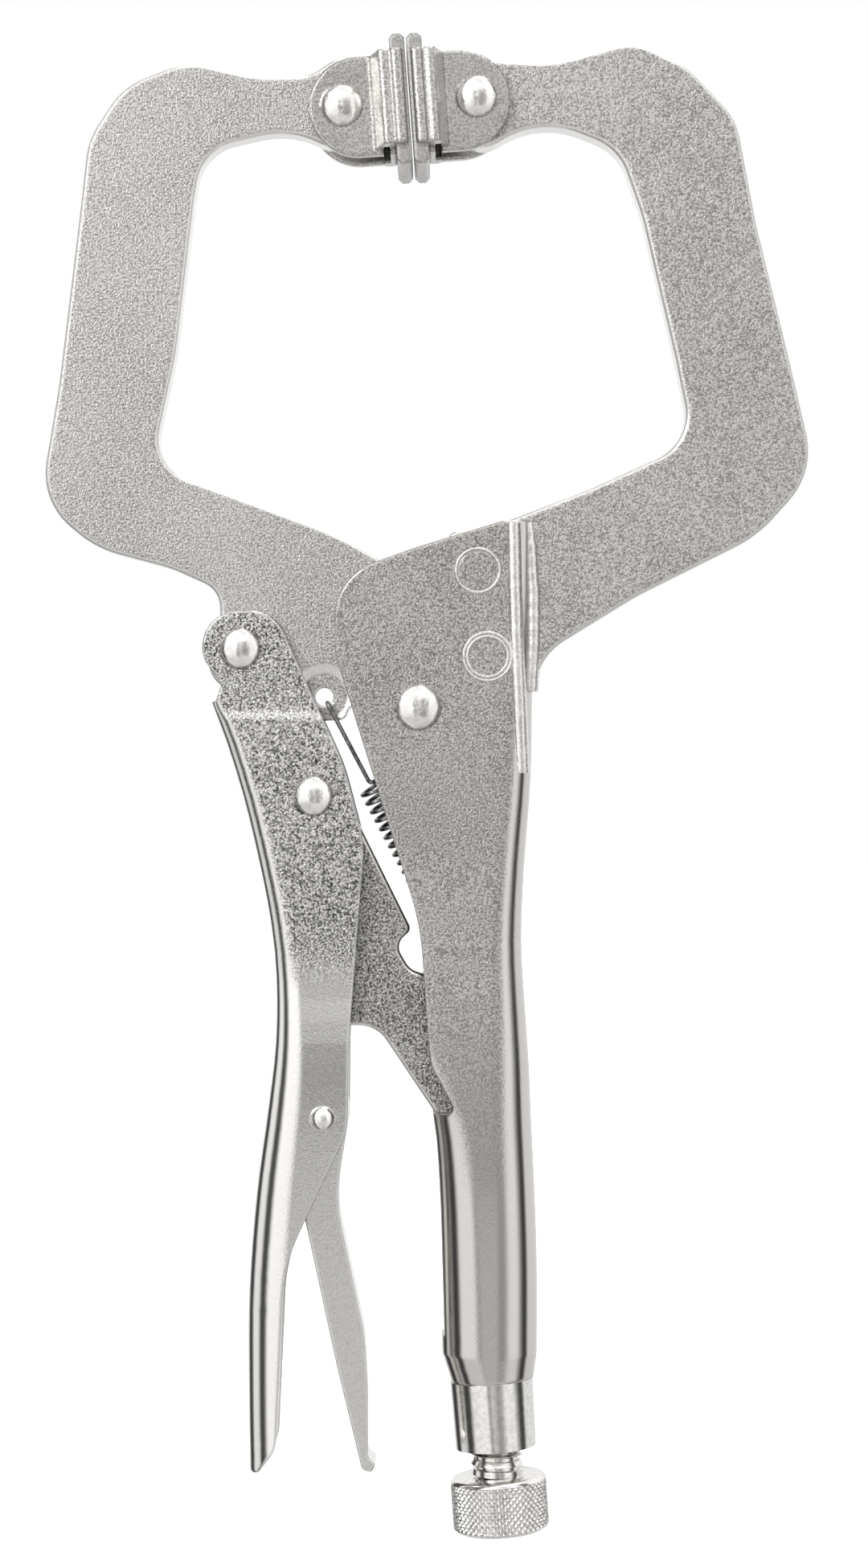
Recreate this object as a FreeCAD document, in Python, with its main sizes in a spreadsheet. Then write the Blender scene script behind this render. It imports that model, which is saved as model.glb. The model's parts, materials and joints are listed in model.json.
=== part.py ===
"""Locking C-clamp, closed: two forged jaws, two formed sheet handles and the toggle that locks them.

Frame: origin at the centre of the closed pads, +X towards the fixed jaw, +Z towards the tips of the
jaws, Y across the thickness. Everything is in millimetres. Each sub-part is one document object whose
Label names the file it is written to.
"""
import FreeCAD, Part
import math
import os
import Sketcher
from FreeCAD import Placement, Rotation, Vector

doc = FreeCAD.newDocument("LockingCClamp")

# ---------------------------------------------------------------------------------------------------
# Driving dimensions
# ---------------------------------------------------------------------------------------------------
DIMENSIONS = [
    # pivots of the linkage, in the plane of the jaws
    ("main_pivot_x", 1.35),
    ("main_pivot_z", -111.9),
    ("lever_pivot_x", -31.6),
    ("lever_pivot_z", -101.0),
    ("link_pivot_x", -18.05),
    ("link_pivot_z", -128.3),
    ("release_pivot_x", -16.2),
    ("release_pivot_z", -187.8),
    ("nose_x", 12.1),
    ("nose_z", -195.8),
    # jaws, link and the sheet of the handles
    ("fixed_jaw_thickness", 6.6),
    ("moving_jaw_thickness", 6.0),
    ("jaw_edge_round", 0.8),
    ("link_thickness", 5.8),
    ("cheek_gap", 6.6),
    ("handle_sheet", 2.3),
    ("lever_sheet", 2.0),
    ("handle_slot", 6.6),
    ("release_width", 9.2),
    ("release_sheet", 1.4),
    # rivets
    ("main_shank_radius", 3.2),
    ("lever_shank_radius", 2.8),
    ("link_shank_radius", 2.6),
    ("release_shank_radius", 1.6),
    ("running_clearance", 0.05),
    ("head_depth", 1.5),
    ("main_head_radius", 4.4),
    ("lever_head_radius", 3.95),
    ("link_head_radius", 3.85),
    ("release_head_radius", 2.5),
    ("link_grip", 11.7),
    ("release_grip", 15.7),
    ("jaw_rivet_radius", 3.9),
    ("upper_jaw_rivet_x", 12.4),
    ("upper_jaw_rivet_z", -86.6),
    ("lower_jaw_rivet_x", 14.2),
    ("lower_jaw_rivet_z", -102.5),
    # swivel pads
    ("pad_tilt", 4.13),
    ("pad_thickness", 2.8),
    ("pad_depth", 20.0),
    ("pad_height", 23.9),
    ("pad_end_chamfer", 0.8),
    ("fixed_pad_pivot_x", 12.3),
    ("fixed_pad_pivot_z", 1.2),
    ("moving_pad_pivot_x", -12.85),
    ("moving_pad_pivot_z", -0.5),
    ("pad_reach", 12.42),
    ("pad_drop", 0.55),
    ("pad_shank_radius", 2.8),
    ("pad_head_radius", 4.05),
    ("ear_radius", 9.2),
    ("ear_offset", 3.2),
    ("ear_drop", 0.5),
    ("ear_gap", 7.2),
    ("ear_sheet", 1.7),
    ("clip_height", 17.3),
    ("clip_rise", -0.15),
    ("clip_sheet", 1.2),
    # return spring
    ("spring_hole_x", -16.1),
    ("spring_hole_z", -109.9),
    ("spring_hole_radius", 1.7),
    ("spring_slant", 27.8),
    ("spring_reach", 44.0),
    ("spring_coil_start", 17.5),
    ("spring_coil_length", 23.8),
    ("spring_coil_radius", 2.7),
    ("spring_wire_radius", 0.4),
    ("spring_hook_drop", 1.25),
    ("spring_hook_side", 3.6),
    ("spring_hook_tail", 2.4),
    ("spring_leg_inset", 2.2),
    ("spring_anchor_half", 3.6),
    ("spring_recess_radius", 4.25),
    ("spring_recess_rim", 6.3),
    ("spring_recess_depth", 0.8),
    # adjusting screw
    ("screw_tilt", 4.0),
    ("screw_radius", 5.0),
    ("screw_tip_gap", 6.4),
    ("nose_radius", 4.5),
    ("knob_radius", 9.0),
    ("knob_length", 10.2),
    ("knob_top_distance", 59.3),
    ("knob_chamfer", 0.8),
    ("sleeve_top_radius", 7.75),
    ("sleeve_end_radius", 7.5),
    ("sleeve_top_distance", 41.3),
    ("sleeve_length", 12.6),
    ("spigot_radius", 5.6),
    ("spigot_length", 5.0),
]

sheet = doc.addObject("Spreadsheet::Sheet", "Dimensions")
for row, (alias, number) in enumerate(DIMENSIONS, start=1):
    sheet.set("A%d" % row, alias)
    sheet.set("B%d" % row, str(number))
    sheet.setAlias("B%d" % row, alias)
doc.recompute()


def size(alias):
    """A driving dimension as a number, for geometry that is worked out before it is bound."""
    return float(sheet.get(alias))


def of_sheet(expression):
    """The expression with the sheet's name put in front of each alias, all split by spaces."""
    aliases = dict(DIMENSIONS)
    return " ".join("Dimensions." + word if word in aliases else word for word in expression.split())


def bind(target, **expressions):
    """Bind properties to the sheet. A double underscore in a name stands for a dot."""
    for path, expression in expressions.items():
        target.setExpression(path.replace("__", "."), of_sheet(expression))


# ---------------------------------------------------------------------------------------------------
# Sketch helpers
# ---------------------------------------------------------------------------------------------------
def origin_plane(body, role):
    """One of a body's own origin planes, such as XZ_Plane."""
    return next(plane for plane in body.Origin.OriginFeatures if plane.Role == role)


def body_sketch(body, name, role="XZ_Plane"):
    """A sketch on one of the body's origin planes."""
    sketch = body.newObject("Sketcher::SketchObject", name)
    sketch.AttachmentSupport = [(origin_plane(body, role), "")]
    sketch.MapMode = "FlatFace"
    return sketch


def rounded_corners(corners):
    """Turn corners (x, y, radius) into pieces: one tangent arc at each corner, a line to the next."""
    arcs = []
    count = len(corners)
    for index, (x, y, radius) in enumerate(corners):
        corner = Vector(x, y, 0)
        before = Vector(*corners[index - 1][:2], 0)
        after = Vector(*corners[(index + 1) % count][:2], 0)
        arrive = (corner - before).normalize()
        leave = (after - corner).normalize()
        turn = arrive.getAngle(leave)
        reach = radius * math.tan(turn / 2)
        inward = (leave - arrive).normalize()
        centre = corner + inward * (radius / math.cos(turn / 2))
        arcs.append((corner - arrive * reach, centre - inward * radius, corner + leave * reach))
    return arcs


def add_outline(sketch, corners):
    """Draw a closed outline of lines and tangent arcs, held in place by Block constraints."""
    arcs = rounded_corners(corners)
    for index, (start, middle, end) in enumerate(arcs):
        following = arcs[(index + 1) % len(arcs)][0]
        pieces = [Part.Arc(start, middle, end)]
        if (following - end).Length > 1e-4:
            pieces.append(Part.LineSegment(end, following))
        for piece in pieces:
            number = sketch.addGeometry(piece, False)
            sketch.addConstraint(Sketcher.Constraint("Block", number))


def drive(sketch, expression, kind, *references):
    """Add one sketch dimension and bind it to the sheet."""
    number = sketch.addConstraint(Sketcher.Constraint(kind, *references))
    bind(sketch, **{"Constraints[%d]" % number: expression})


def add_hole(sketch, x, z, radius):
    """A round hole in an outline: its place and radius are expressions of the sheet's aliases."""
    centre = Vector(size(x), size(z), 0)
    start = sum(size(word) for word in radius.split(" + "))
    hole = sketch.addGeometry(Part.Circle(centre, Vector(0, 0, 1), start), False)
    drive(sketch, x, "DistanceX", -1, 1, hole, 3, centre.x)
    drive(sketch, z, "DistanceY", -1, 1, hole, 3, centre.y)
    drive(sketch, radius, "Radius", hole, start)


def rim_edges(shape, half_thickness):
    """Names of the rim edges in both flat faces of a plate, leaving out its round holes."""
    names = []
    for index, edge in enumerate(shape.Edges, start=1):
        box = edge.BoundBox
        flat = box.YLength < 1e-4 and abs(abs(box.Center.y) - half_thickness) < 1e-4
        if flat and not edge.Closed:
            names.append("Edge%d" % index)
    return names


def forged_plate(label, corners, thickness, holes):
    """A flat plate with its outline's rim rounded over on both faces, and round holes."""
    body = doc.addObject("PartDesign::Body", label)
    body.Label = label
    sketch = body_sketch(body, label + "_outline")
    add_outline(sketch, corners)
    for hole in holes:
        add_hole(sketch, *hole)
    pad = body.newObject("PartDesign::Pad", label + "_plate")
    pad.Profile = sketch
    pad.SideType = "Symmetric"
    bind(pad, Length=thickness)
    doc.recompute()
    rim = body.newObject("PartDesign::Fillet", label + "_rim")
    rim.Base = (pad, rim_edges(pad.Shape, size(thickness) / 2))
    bind(rim, Radius="jaw_edge_round")
    body.Tip = rim
    return body


def extrusion(name, corners, half_width, upright=True):
    """A Part extrusion of an outline, equally to both sides of the XZ plane, or of the XY plane."""
    sketch = doc.addObject("Sketcher::SketchObject", name + "_outline")
    sketch.Placement.Rotation = Rotation(Vector(1, 0, 0), 90 if upright else 0)
    add_outline(sketch, corners)
    solid = doc.addObject("Part::Extrusion", name)
    solid.Base = sketch
    solid.DirMode = "Normal"
    solid.Solid = True
    solid.Symmetric = True
    bind(solid, LengthFwd="2 * ( " + half_width + " )")
    return solid


def box_between(name, low, high):
    """A Part box between two corners."""
    box = doc.addObject("Part::Box", name)
    box.Length = high[0] - low[0]
    box.Width = high[1] - low[1]
    box.Height = high[2] - low[2]
    box.Placement.Base = Vector(*low)
    return box


def combine(kind, name, *shapes):
    """A Part boolean: Cut and Common take two shapes, MultiFuse takes any number."""
    result = doc.addObject("Part::" + kind, name)
    if kind == "MultiFuse":
        result.Shapes = list(shapes)
    else:
        result.Base, result.Tool = shapes
    return result


def cut_away(name, solid, *tools):
    """Cut the tools from a solid one after another; the last cut carries the name."""
    for index, tool in enumerate(tools[:-1]):
        solid = combine("Cut", "%s_cut_%d" % (name, index), solid, tool)
    return combine("Cut", name, solid, tools[-1])


def cross_bore(name, x, z, radius, length=40):
    """A cylinder across the clamp for a bore through sheet metal, placed by the sheet."""
    bore = doc.addObject("Part::Cylinder", name)
    bore.Height = length
    bind(bore, Radius=radius)
    bore.Placement.Rotation = Rotation(Vector(1, 0, 0), 90)
    bore.Placement.Base.y = length / 2
    bind(bore, Placement__Base__x=x, Placement__Base__z=z)
    return bore


def between_sections(sections, step=5.0):
    """Add sections so that none are further apart than the step, on a cubic through those given."""
    last = len(sections) - 1
    slopes = []
    for index in range(len(sections)):
        low, high = sections[max(index - 1, 0)], sections[min(index + 1, last)]
        slopes.append([(b - a) / (high[0] - low[0]) for a, b in zip(low, high)])
    result = []
    for index in range(last):
        here, there = sections[index], sections[index + 1]
        gap = there[0] - here[0]
        parts = max(1, math.ceil(abs(gap) / step))
        for part in range(parts):
            t = part / parts
            ahead = 3 * t ** 2 - 2 * t ** 3
            leaving = t ** 3 - 2 * t ** 2 + t
            arriving = t ** 3 - t ** 2
            result.append([(1 - ahead) * a + ahead * b + gap * (leaving * m + arriving * n)
                           for a, b, m, n in zip(here, there, slopes[index], slopes[index + 1])])
    return result + [list(sections[last])]


def section_loft(name, sections, inset=0.0):
    """Loft level rounded rectangles (z, left, right, half width, left corner, right corner)."""
    profiles = []
    for index, section in enumerate(between_sections(sections)):
        z, left, right, half, left_corner, right_corner = section
        left, right, half = left + inset, right - inset, half - inset
        near, far = max(left_corner - inset, 0.3), max(right_corner - inset, 0.3)
        profile = doc.addObject("Sketcher::SketchObject", "%s_%d" % (name, index))
        profile.Placement.Base.z = z
        add_outline(profile, [
            (left, -half, near),
            (right, -half, far),
            (right, half, far),
            (left, half, near),
        ])
        profiles.append(profile)
    loft = doc.addObject("Part::Loft", name)
    loft.Sections = profiles
    loft.Solid = True
    loft.Ruled = True
    return loft


# ---------------------------------------------------------------------------------------------------
# Forged jaws and the toggle link: flat plates
# ---------------------------------------------------------------------------------------------------
# the pad end, round the swivel rivet; the neck's throat side last
FIXED_JAW = [
    (5.6, 9.2, 6.5),
    (17.0, 8.2, 12),
    (26.0, 7.6, 24),
    (41.5, 11.8, 9),
    (51.5, 7.0, 12),
    (60.5, -2.5, 12),
    (64.2, -22.0, 40),
    (70.3, -47.0, 60),
    (75.2, -68.0, 14),
    (64.5, -80.0, 24),
    (42.0, -91.2, 60),
    (25.3, -101.5, 12),
    (22.3, -108.9, 2.0),
    (13.0, -108.9, 1.5),
    (5.4, -99.5, 5.0),
    (4.7, -86.0, 8),
    (7.4, -79.3, 2.0),
    (16.3, -77.8, 8),
    (33.0, -71.4, 60),
    (52.4, -62.6, 9),
    (49.2, -47.0, 60),
    (43.0, -20.5, 40),
    (38.6, -8.0, 10),
    (24.0, -2.2, 16),
    (14.5, -8.0, 7),
    (5.6, -7.2, 6.5),
]
MOVING_JAW = [
    (-5.6, 8.3, 6.5),
    (-13.8, 8.9, 5),
    (-19.0, 5.4, 8),
    (-29.0, 5.2, 30),
    (-41.5, 8.2, 14),
    (-53.5, 3.6, 14),
    (-60.0, -6.5, 14),
    (-61.5, -20.0, 60),
    (-65.4, -52.0, 80),
    (-69.0, -73.5, 13),
    (-58.5, -82.3, 20),
    (-44.5, -86.0, 25),
    (-35.6, -90.0, 5),
    (-35.4, -95.3, 2),
    (-38.2, -99.0, 4),
    (-37.0, -108.4, 5.5),
    (-27.0, -109.2, 10),
    (-19.5, -114.4, 6),
    (-12.3, -114.2, 1.6),
    (-11.2, -110.9, 1.2),
    (-8.4, -113.2, 1.2),
    (-7.6, -120.9, 7.0),
    (10.4, -120.9, 8.9),
    (10.4, -102.9, 7.4),
    (2.6, -101.4, 1.2),
    (2.2, -92.0, 6),
    (-4.3, -85.1, 12),
    (-14.0, -79.6, 60),
    (-35.5, -71.6, 60),
    (-48.2, -67.2, 8),
    (-43.6, -46.0, 60),
    (-40.2, -17.0, 40),
    (-38.6, -8.0, 9),
    (-22.5, -4.4, 16),
    (-14.0, -8.3, 8),
    (-5.6, -7.0, 6.0),
]
TOGGLE_LINK = [
    (-24.6, -121.6, 6.2),
    (-12.2, -121.6, 6.2),
    (-11.0, -130.8, 20),
    (0.1, -153.2, 1.3),
    (-2.9, -156.0, 2.6),
    (-0.2, -160.6, 3.5),
    (8.4, -163.4, 6),
    (13.6, -176.0, 30),
    (16.9, -200.5, 4.4),
    (7.6, -200.5, 4.4),
    (7.0, -191.0, 5),
    (-1.6, -178.2, 60),
    (-6.3, -171.2, 6),
    (-19.5, -170.6, 5),
    (-22.4, -150.0, 40),
]

fixed_jaw = forged_plate("fixed_jaw", FIXED_JAW, "fixed_jaw_thickness", [
    ("fixed_pad_pivot_x", "fixed_pad_pivot_z", "pad_shank_radius + running_clearance"),
    ("upper_jaw_rivet_x", "upper_jaw_rivet_z", "jaw_rivet_radius"),
    ("lower_jaw_rivet_x", "lower_jaw_rivet_z", "jaw_rivet_radius"),
])
moving_jaw_forging = forged_plate("moving_jaw_forging", MOVING_JAW, "moving_jaw_thickness", [
    ("moving_pad_pivot_x", "moving_pad_pivot_z", "pad_shank_radius + running_clearance"),
    ("main_pivot_x", "main_pivot_z", "main_shank_radius + running_clearance"),
    ("lever_pivot_x", "lever_pivot_z", "lever_shank_radius + running_clearance"),
    ("spring_hole_x", "spring_hole_z", "spring_hole_radius"),
])
recess = doc.addObject("Part::Cone", "spring_recess")
recess.Placement.Rotation = Rotation(Vector(1, 0, 0), 90)
bind(recess, Radius1="spring_recess_radius", Radius2="spring_recess_rim", Height="spring_recess_depth",
     Placement__Base__x="spring_hole_x", Placement__Base__z="spring_hole_z",
     Placement__Base__y="-1 * moving_jaw_thickness / 2 + spring_recess_depth")
moving_jaw = cut_away("moving_jaw", moving_jaw_forging, recess)
toggle_link = forged_plate("toggle_link", TOGGLE_LINK, "link_thickness", [
    ("link_pivot_x", "link_pivot_z", "link_shank_radius + running_clearance"),
])

# ---------------------------------------------------------------------------------------------------
# Fixed handle: one sheet, an open channel at the top that closes into a tube round the screw
# ---------------------------------------------------------------------------------------------------
# (z, left, right, half width, left corner radius, right corner radius)
HANDLE_SECTIONS = [
    (-68, -22.0, 23.6, 5.6, 0.8, 4.4),
    (-90, -20.0, 23.2, 5.6, 0.8, 4.4),
    (-109, -17.0, 22.6, 5.6, 0.8, 4.6),
    (-125, -12.5, 22.3, 5.65, 0.8, 4.9),
    (-140, -7.0, 21.2, 5.8, 0.8, 5.2),
    (-155, -3.2, 20.6, 6.2, 1.2, 5.6),
    (-168, -0.4, 21.3, 6.9, 2.2, 6.2),
    (-178, 1.6, 22.0, 7.4, 4.0, 6.8),
    (-188, 4.0, 22.4, 7.8, 6.0, 7.2),
    (-200, 4.9, 23.0, 8.0, 7.0, 7.4),
    (-215, 5.35, 23.5, 8.1, 7.4, 7.6),
    (-232, 5.8, 23.5, 8.1, 7.4, 7.6),
]
NECK_SECTIONS = [
    (-232, 5.8, 23.5, 8.1, 7.4, 7.6),
    (-237.9, 7.7, 22.7, 7.45, 7.1, 7.1),
]
# the cheeks' free edge: round the top, down the open side, the notch where the link enters the tube
CHEEK_TRIM = [
    (30.0, -77.4, 1),
    (17.0, -77.4, 4),
    (1.0, -82.3, 30),
    (-13.9, -87.6, 11),
    (-14.2, -101.5, 20),
    (-5.8, -128.2, 60),
    (1.7, -152.0, 50),
    (3.6, -178.0, 8),
    (8.8, -187.2, 1.4),
    (-6.0, -187.4, 1),
    (-6.0, -240.0, 1),
    (30.0, -240.0, 1),
]

handle_outer = combine("MultiFuse", "handle_outer",
                       section_loft("handle_skin", HANDLE_SECTIONS),
                       section_loft("handle_neck", NECK_SECTIONS))
handle_trimmed = combine("Common", "handle_trimmed", handle_outer,
                         extrusion("cheek_trim", CHEEK_TRIM, "cheek_gap + 4 * handle_sheet"))
handle_bar = box_between("handle_jaw_gap", (-30, -size("cheek_gap") / 2, -108.9),
                         (40, size("cheek_gap") / 2, -60))
cheek_back = box_between("cheek_back_edge", (21.6, -20, -108.9), (40, 20, -60))
handle_slot = box_between("handle_slot", (-10, -size("handle_slot") / 2, -228.4),
                          (12, size("handle_slot") / 2, -170))
handle_mouth = doc.addObject("Part::Cylinder", "handle_mouth")
handle_mouth.Height = 10
bind(handle_mouth, Radius="spigot_radius")


def along_screw(distance):
    """The point on the screw's axis that lies this far below the link's nose."""
    tilt = math.radians(size("screw_tilt"))
    x = size("nose_x") + distance * math.sin(tilt)
    return Vector(x, 0, size("nose_z") - distance * math.cos(tilt))


def on_screw(item, distance):
    """Put a Part primitive on the screw's axis, its own +Z pointing out along the screw."""
    turn = Rotation(Vector(0, 1, 0), 180 - size("screw_tilt"))
    item.Placement = Placement(along_screw(distance), turn)


on_screw(handle_mouth, size("sleeve_top_distance") - size("spigot_length") - 0.6)
handle_end = doc.addObject("Part::Cylinder", "handle_end")
bind(handle_end, Radius="2 * sleeve_top_radius", Height="sleeve_length")
on_screw(handle_end, size("sleeve_top_distance"))
HANDLE_HOLLOW = [(-50, -24.0, 25.5, 5.6, 0.8, 2.6)] + HANDLE_SECTIONS[1:]
fixed_handle = cut_away(
    "fixed_handle", handle_trimmed,
    section_loft("handle_hollow", HANDLE_HOLLOW, inset=size("handle_sheet")),
    handle_bar, cheek_back, handle_slot, handle_mouth, handle_end,
    cross_bore("main_bore", "main_pivot_x", "main_pivot_z", "main_shank_radius"),
    cross_bore("upper_jaw_bore", "upper_jaw_rivet_x", "upper_jaw_rivet_z", "jaw_rivet_radius"),
    cross_bore("lower_jaw_bore", "lower_jaw_rivet_x", "lower_jaw_rivet_z", "jaw_rivet_radius"))

# ---------------------------------------------------------------------------------------------------
# Lever handle: a channel open towards the fixed handle, with two ears on the moving jaw
# ---------------------------------------------------------------------------------------------------
LEVER_SECTIONS = [
    (-88, -45.0, 0.0, 5.3, 2.0, 0.5),
    (-104, -39.5, 0.0, 5.3, 2.0, 0.5),
    (-112.4, -36.4, 0.0, 5.3, 2.2, 0.5),
    (-114.2, -35.8, 0.0, 5.8, 3.4, 0.5),
    (-118, -34.4, 0.0, 5.8, 3.7, 0.5),
    (-128, -31.3, 0.0, 5.85, 3.9, 0.5),
    (-140, -28.4, 0.0, 5.85, 4.1, 0.5),
    (-152, -26.1, 0.0, 5.9, 4.3, 0.5),
    (-162, -25.1, 0.0, 6.2, 4.5, 0.5),
    (-174, -25.2, 0.0, 7.3, 5.2, 0.5),
    (-186, -26.6, 0.0, 7.8, 6.2, 0.5),
    (-202, -28.8, 0.0, 7.9, 7.0, 0.5),
    (-220, -30.2, 0.0, 7.8, 7.3, 0.5),
    (-238, -30.3, 0.0, 7.6, 7.1, 0.5),
    (-256, -30.0, 0.0, 7.4, 6.9, 0.5),
]
# ear, free edge down the open side, rounded tail; the back is left to the sections
LEVER_TRIM = [
    (-38.6, -94.2, 6.6),
    (-25.4, -94.0, 6.6),
    (-12.4, -122.5, 40),
    (-8.6, -137.0, 18),
    (-11.4, -173.0, 60),
    (-11.6, -190.0, 12),
    (-23.4, -215.0, 34),
    (-24.9, -249.0, 6),
    (-28.4, -253.8, 2),
    (-40.0, -253.8, 1),
    (-44.0, -110.9, 1),
    (-36.2, -110.9, 0.6),
    (-35.0, -107.6, 1.0),
    (-38.6, -102.6, 4.5),
]
lever_trimmed = combine("Common", "lever_trimmed", section_loft("lever_skin", LEVER_SECTIONS),
                        extrusion("lever_trim", LEVER_TRIM, "cheek_gap + 4 * lever_sheet"))
LEVER_HOLLOW = [(z, left, 6.0, half, near, far) for z, left, _, half, near, far in LEVER_SECTIONS]
lever_handle = cut_away(
    "lever_handle", lever_trimmed,
    section_loft("lever_hollow", LEVER_HOLLOW, inset=size("lever_sheet")),
    box_between("lever_ear_gap", (-50, -size("cheek_gap") / 2, -112.6),
                (10, size("cheek_gap") / 2, -80)),
    cross_bore("lever_bore", "lever_pivot_x", "lever_pivot_z", "lever_shank_radius"),
    cross_bore("link_bore", "link_pivot_x", "link_pivot_z", "link_shank_radius"),
    cross_bore("release_bore", "release_pivot_x", "release_pivot_z", "release_shank_radius"))

# ---------------------------------------------------------------------------------------------------
# Release lever: a small channel, its back towards the fixed handle and its tail turned out
# ---------------------------------------------------------------------------------------------------
RELEASE_OUTLINE = [
    (-19.0, -176.2, 3.0),
    (-12.8, -175.8, 3.0),
    (-11.4, -187.0, 20),
    (-13.9, -203.0, 30),
    (-8.6, -228.0, 30),
    (-8.0, -238.0, 40),
    (-8.0, -250.8, 1.5),
    (-6.5, -252.2, 0.5),
    (-7.2, -253.5, 0.4),
    (-9.0, -253.4, 1.5),
    (-13.6, -234.5, 40),
    (-18.5, -212.0, 40),
    (-21.5, -198.0, 12),
    (-21.6, -184.0, 6),
]
release_skin = extrusion("release_skin", RELEASE_OUTLINE, "release_width / 2")
release_hollow = extrusion("release_hollow", RELEASE_OUTLINE, "release_width / 2 - release_sheet")
bind(release_hollow, Placement__Base__x="-1 * release_sheet")
release_lever = cut_away(
    "release_lever", release_skin, release_hollow,
    cross_bore("release_lever_bore", "release_pivot_x", "release_pivot_z",
               "release_shank_radius + running_clearance"))


# ---------------------------------------------------------------------------------------------------
# Rivets
# ---------------------------------------------------------------------------------------------------
def rivet(label, x, z, shank_radius, grip, head_radius):
    """A rivet across the clamp with a domed head on each side; grip is its length under the heads."""
    shank, head = size(shank_radius), size(head_radius)
    half = sum(size(word) for word in grip.split(" + ")) / 2
    depth = size("head_depth")
    top = half + depth
    dome = (head ** 2 + depth ** 2) / (2 * depth)
    lean = math.asin(head / dome) / 2
    body = doc.addObject("PartDesign::Body", label)
    body.Label = label
    sketch = body_sketch(body, label + "_profile", "XY_Plane")
    middle = Vector(dome * math.sin(lean), top - dome + dome * math.cos(lean), 0)
    corners = [Vector(0, -top, 0), Vector(head, -half, 0), Vector(shank, -half, 0), Vector(shank, half, 0),
               Vector(head, half, 0), Vector(0, top, 0)]
    flipped = Vector(middle.x, -middle.y, 0)
    sketch.addGeometry([
        Part.Arc(corners[0], flipped, corners[1]),
        Part.LineSegment(corners[1], corners[2]),
        Part.LineSegment(corners[2], corners[3]),
        Part.LineSegment(corners[3], corners[4]),
        Part.Arc(corners[4], middle, corners[5]),
        Part.LineSegment(corners[5], corners[0]),
    ], False)
    turned = body.newObject("PartDesign::Revolution", label + "_turned")
    turned.Profile = sketch
    turned.ReferenceAxis = (sketch, ["V_Axis"])
    turned.Angle = 360
    body.Tip = turned
    bind(body, Placement__Base__x=x, Placement__Base__z=z)
    return body


def plug_rivet(label, x, z):
    """A jaw rivet ground flush with both cheeks."""
    plug = doc.addObject("Part::Cylinder", label)
    plug.Label = label
    plug.Placement.Rotation = Rotation(Vector(1, 0, 0), 90)
    bind(plug, Radius="jaw_rivet_radius", Height="cheek_gap + 2 * handle_sheet",
         Placement__Base__x=x, Placement__Base__z=z, Placement__Base__y="cheek_gap / 2 + handle_sheet")
    return plug


rivets = [
    rivet("main_pivot_rivet", "main_pivot_x", "main_pivot_z", "main_shank_radius",
          "cheek_gap + handle_sheet + handle_sheet", "main_head_radius"),
    rivet("lever_pivot_rivet", "lever_pivot_x", "lever_pivot_z", "lever_shank_radius",
          "cheek_gap + lever_sheet + lever_sheet", "lever_head_radius"),
    rivet("link_rivet", "link_pivot_x", "link_pivot_z", "link_shank_radius",
          "link_grip", "link_head_radius"),
    rivet("release_rivet", "release_pivot_x", "release_pivot_z", "release_shank_radius",
          "release_grip", "release_head_radius"),
    rivet("fixed_pad_rivet", "fixed_pad_pivot_x", "fixed_pad_pivot_z", "pad_shank_radius",
          "ear_gap + ear_sheet + ear_sheet", "pad_head_radius"),
    rivet("moving_pad_rivet", "moving_pad_pivot_x", "moving_pad_pivot_z", "pad_shank_radius",
          "ear_gap + ear_sheet + ear_sheet", "pad_head_radius"),
    plug_rivet("upper_jaw_rivet", "upper_jaw_rivet_x", "upper_jaw_rivet_z"),
    plug_rivet("lower_jaw_rivet", "lower_jaw_rivet_x", "lower_jaw_rivet_z"),
]


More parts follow.
